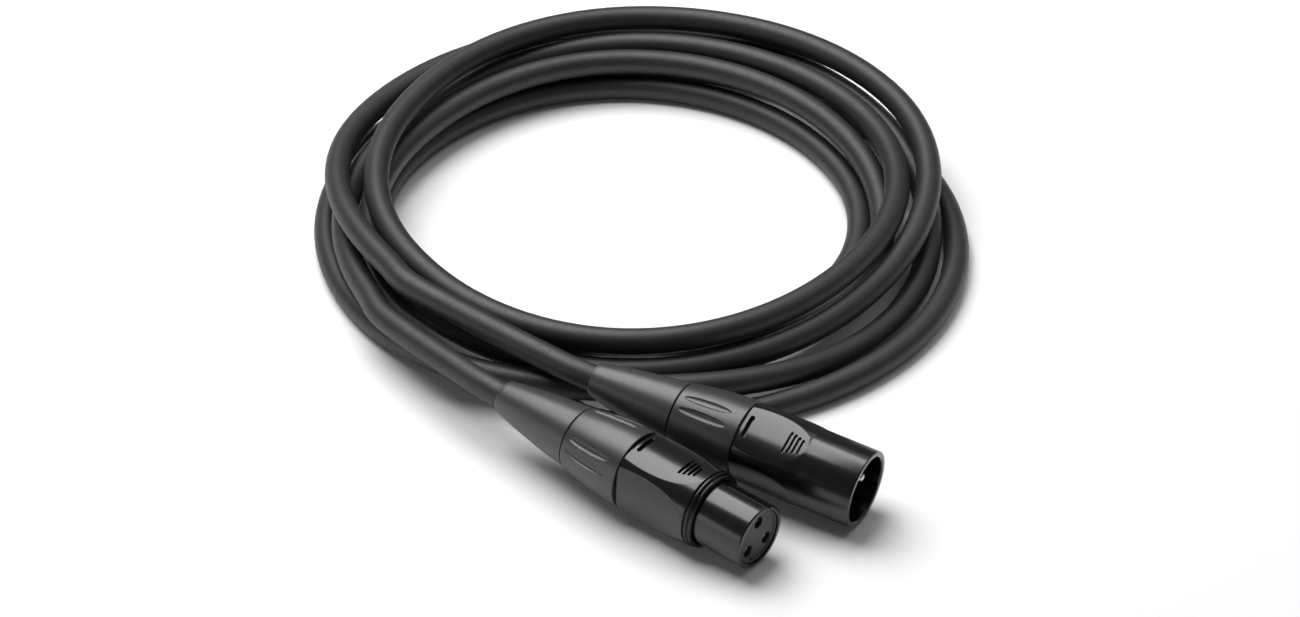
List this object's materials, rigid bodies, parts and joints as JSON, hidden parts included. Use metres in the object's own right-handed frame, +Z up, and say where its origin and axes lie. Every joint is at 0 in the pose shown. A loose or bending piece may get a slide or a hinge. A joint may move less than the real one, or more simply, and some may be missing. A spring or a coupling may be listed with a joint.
{
  "type": "xlr microphone cable coil",
  "caption": "Coiled balanced microphone cable with black male and female XLR connectors lying side by side in front of the coil.",
  "frame": {"origin": "middle of the rectangle that the two connectors cover on the surface they lie on", "axes": "+Z up; the connectors point towards +X and -Y, and the coil lies behind them towards +Y"},
  "size_m": [0.1661, 0.2308, 0.0221],
  "materials": {
    "shell": "satin black coating",
    "insert": "matte black moulding",
    "contact": "silver plated",
    "spring_steel": "bright",
    "bushing": "fine matte",
    "boot": "matte",
    "clamp": "matte grey",
    "collar": "smooth black",
    "jacket": "matte black jacket",
    "wire_red": "insulation",
    "wire_white": "insulation",
    "wire_green": "insulation"
  },
  "bodies": {
    "root": {"male_shell": "shell", "male_insert": "insert", "male_pin_1": "contact", "male_pin_2": "contact", "male_pin_3": "contact", "male_ground_contact": "spring_steel", "male_bushing": "bushing", "male_boot": "boot", "male_cord_clamp": "clamp", "male_cable_end": "jacket", "male_wire_hot": "wire_red", "male_wire_cold": "wire_white", "male_wire_shield": "wire_green", "female_shell": "shell", "female_collar_ring": "collar", "female_insert": "insert", "female_socket_1": "contact", "female_socket_2": "contact", "female_socket_3": "contact", "female_latch_pin": "spring_steel", "female_latch_spring": "spring_steel", "female_ground_contact": "spring_steel", "female_bushing": "bushing", "female_boot": "boot", "female_cord_clamp": "clamp", "female_cable_end": "jacket", "female_wire_hot": "wire_red", "female_wire_cold": "wire_white", "female_wire_shield": "wire_green", "cable_coil": "jacket", "cable_lead_male": "jacket", "cable_lead_female": "jacket"},
    "latch": {"female_latch": "shell"}
  },
  "joints": [
    {"name": "latch_press", "type": "hinge", "parent": "root", "child": "latch", "pos_m": [-0.00965, -0.00377, 0.0054], "axis": [-0.632, -0.7749, 0], "range_deg": [0, 2], "stiffness_Nm_per_rad": 0.05}
  ]
}
